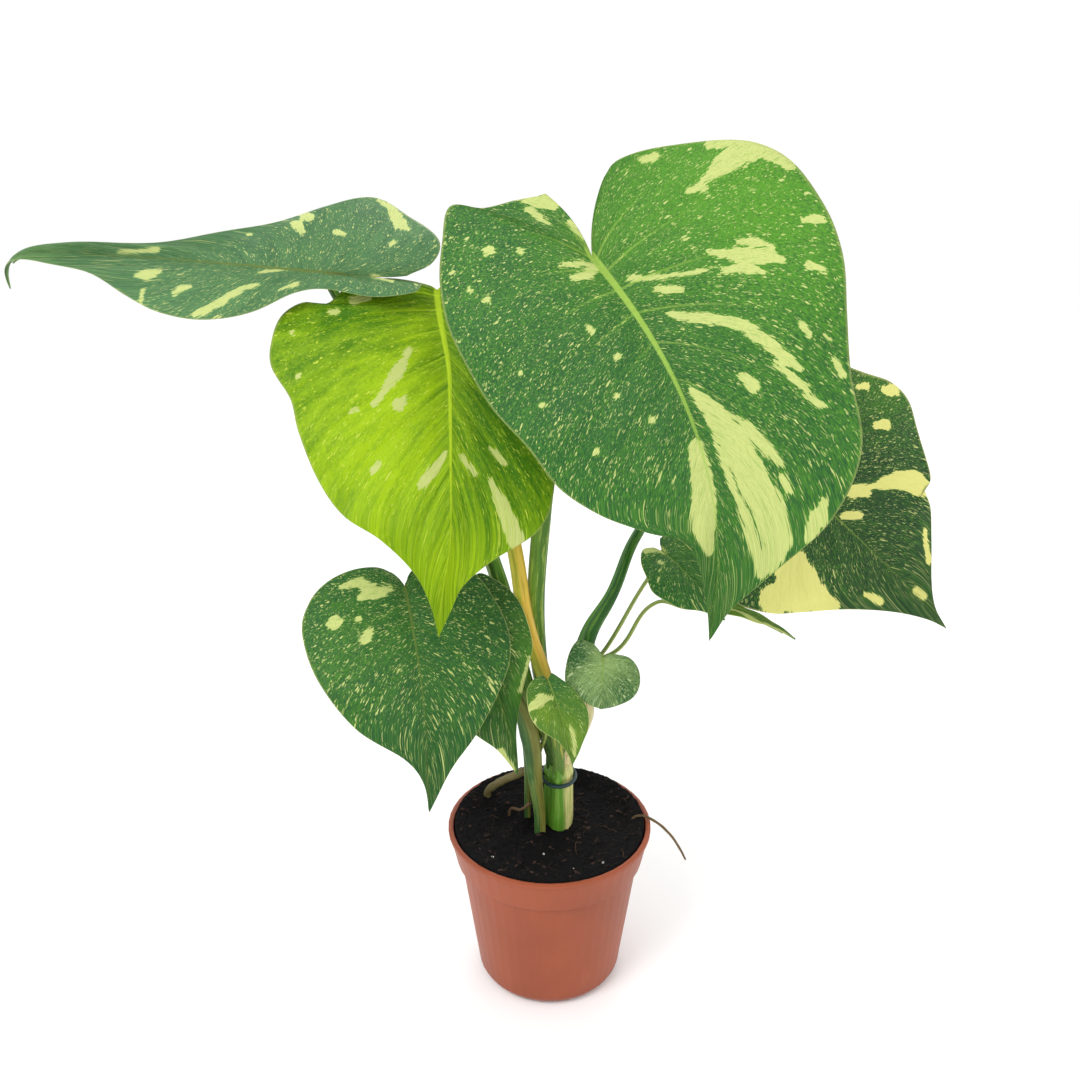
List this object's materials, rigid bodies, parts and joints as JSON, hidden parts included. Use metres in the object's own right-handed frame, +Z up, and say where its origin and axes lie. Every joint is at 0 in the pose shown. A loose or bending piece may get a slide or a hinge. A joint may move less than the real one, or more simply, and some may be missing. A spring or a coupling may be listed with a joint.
{
  "type": "potted foliage plant",
  "caption": "Young variegated split-leaf plant with heart-shaped blades on long stalks, standing in soil in a round nursery pot.",
  "frame": {"origin": "centre of the pot's base, on the surface it stands on", "axes": "+Z up; the plant's pictured front is towards -Y, its long left blade points to -X"},
  "size_m": [0.5538, 0.1927, 0.4796],
  "materials": {
    "terracotta_plastic": "matte",
    "soil": "matte",
    "leaf_green": "satin",
    "leaf_lime": "satin",
    "leaf_pale": "satin",
    "stalk_green": "satin",
    "stalk_cream": "satin",
    "dry_root": "matte",
    "tie_teal": "matte"
  },
  "bodies": {
    "root": {"pot": "terracotta_plastic", "soil": "soil", "crown": "stalk_green", "tie": "tie_teal", "stub": "dry_root", "root_left": "dry_root", "root_over_rim": "dry_root", "leaf_front_large": "leaf_green", "leaf_left_long": "leaf_green", "leaf_lime": "leaf_lime", "leaf_lower_left": "leaf_green", "leaf_narrow_right": "leaf_green", "leaf_right_large": "leaf_green", "leaf_small_centre": "leaf_green", "leaf_small_right": "leaf_green", "leaf_small_round": "leaf_pale", "leaf_tucked": "leaf_green", "stalk_front_large": "stalk_green", "stalk_left_long": "stalk_green", "stalk_lime": "stalk_cream", "stalk_lower_left": "stalk_green", "stalk_narrow_right": "stalk_green", "stalk_right_large": "stalk_green", "stalk_small_centre": "stalk_green", "stalk_small_right": "stalk_green", "stalk_small_round": "stalk_green", "stalk_tucked": "stalk_green"}
  },
  "joints": []
}
